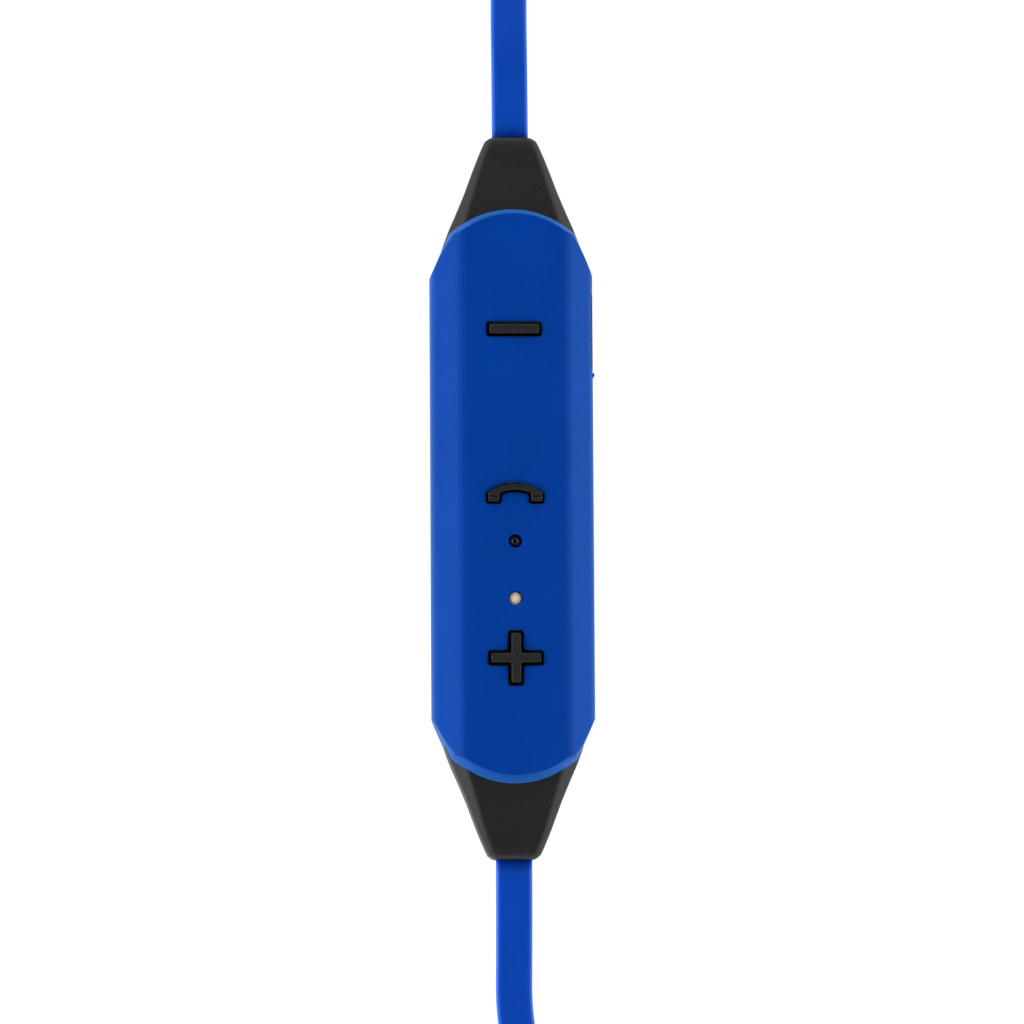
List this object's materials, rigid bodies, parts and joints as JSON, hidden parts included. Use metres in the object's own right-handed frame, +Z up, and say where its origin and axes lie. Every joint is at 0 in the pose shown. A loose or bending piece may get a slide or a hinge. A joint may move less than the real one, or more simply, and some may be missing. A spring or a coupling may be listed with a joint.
{
  "type": "neckband earphones",
  "caption": "Wireless earphones on a flat neck cord, with a slim in-line control pod, press keys, a charging port flap and in-ear buds.",
  "frame": {"origin": "middle of the pod's flat back face, which lies on the table", "axes": "+Z up out of the pod's front face, +Y along the pod towards the volume-down key, +X towards the charging port"},
  "size_m": [0.0243, 0.2039, 0.0122],
  "materials": {
    "casing_blue": "satin moulded plastic",
    "flap_blue": "soft rubber in the casing colour",
    "key_black": "fine matt moulding",
    "switch_plastic": "plain moulding",
    "metal_can": "folded tinned sheet",
    "board_green": "solder mask",
    "battery_foil": "laminated pouch foil",
    "foam": "closed-cell foam tape",
    "wire_red": "thin insulation",
    "chip_black": "moulded package",
    "ceramic_white": "ceramic body",
    "clear_pipe": "clear polycarbonate",
    "mesh_cream": "woven acoustic mesh",
    "soft_black": "soft satin elastomer",
    "cord_blue": "smooth soft jacket",
    "tie_black": "woven hook-and-loop band",
    "bud_black": "fine matt moulding",
    "silicone_black": "silk-matt silicone",
    "driver_steel": "plated steel",
    "diaphragm_film": "thin polymer film",
    "mesh_steel": "woven steel mesh"
  },
  "bodies": {
    "pod_and_leads": {"front_shell": "casing_blue", "rear_shell": "casing_blue", "volume_down_switch": "metal_can", "call_switch": "metal_can", "volume_up_switch": "metal_can", "circuit_board": "board_green", "battery": "battery_foil", "battery_pad": "foam", "battery_leads": "wire_red", "radio_shield": "metal_can", "radio_chip": "chip_black", "antenna": "ceramic_white", "charger_chip": "chip_black", "indicator_led": "ceramic_white", "light_pipe": "clear_pipe", "microphone": "metal_can", "microphone_boot": "soft_black", "microphone_mesh": "mesh_cream", "usb_socket": "metal_can", "usb_tongue": "chip_black", "upper_strain_relief": "soft_black", "lower_strain_relief": "soft_black", "upper_cord_tail": "cord_blue", "lower_cord_tail": "cord_blue", "upper_cord_wires": "wire_red", "lower_cord_wires": "wire_red", "left_lead": "cord_blue", "left_lead_end": "cord_blue", "right_lead": "cord_blue", "left_lead_hank": "cord_blue", "hank_ties": "tie_black", "left_bud_housing": "casing_blue", "left_bud_cap": "bud_black", "left_bud_relief": "soft_black", "left_driver_frame": "driver_steel", "left_driver_magnet": "driver_steel", "left_diaphragm": "diaphragm_film", "left_nozzle_mesh": "mesh_steel", "right_bud_housing": "casing_blue", "right_bud_cap": "bud_black", "right_bud_relief": "soft_black", "right_driver_frame": "driver_steel", "right_driver_magnet": "driver_steel", "right_diaphragm": "diaphragm_film", "right_nozzle_mesh": "mesh_steel"},
    "volume_down_key": {"volume_down_key": "key_black", "volume_down_plunger": "switch_plastic"},
    "call_key": {"call_key": "key_black", "call_plunger": "switch_plastic"},
    "volume_up_key": {"volume_up_key": "key_black", "volume_up_plunger": "switch_plastic"},
    "port_flap": {"port_flap": "flap_blue"},
    "left_ear_tip": {"left_ear_tip": "silicone_black"},
    "right_ear_tip": {"right_ear_tip": "silicone_black"}
  },
  "joints": [
    {"name": "volume_down_press", "type": "slide", "parent": "pod_and_leads", "child": "volume_down_key", "axis": [0, 0, -1], "range_m": [0, 0.00025], "stiffness_N_per_m": 4000},
    {"name": "call_press", "type": "slide", "parent": "pod_and_leads", "child": "call_key", "axis": [0, 0, -1], "range_m": [0, 0.00025], "stiffness_N_per_m": 4000},
    {"name": "volume_up_press", "type": "slide", "parent": "pod_and_leads", "child": "volume_up_key", "axis": [0, 0, -1], "range_m": [0, 0.00025], "stiffness_N_per_m": 4000},
    {"name": "port_flap_hinge", "type": "hinge", "parent": "pod_and_leads", "child": "port_flap", "pos_m": [0.00695, 0.0183, 0.0047], "axis": [0, 0, 1], "range_deg": [0, 110]},
    {"name": "left_ear_tip_pull", "type": "slide", "parent": "pod_and_leads", "child": "left_ear_tip", "axis": [0, 1, 0], "range_m": [0, 0.006]},
    {"name": "right_ear_tip_pull", "type": "slide", "parent": "pod_and_leads", "child": "right_ear_tip", "axis": [0, -1, 0], "range_m": [0, 0.006]}
  ]
}
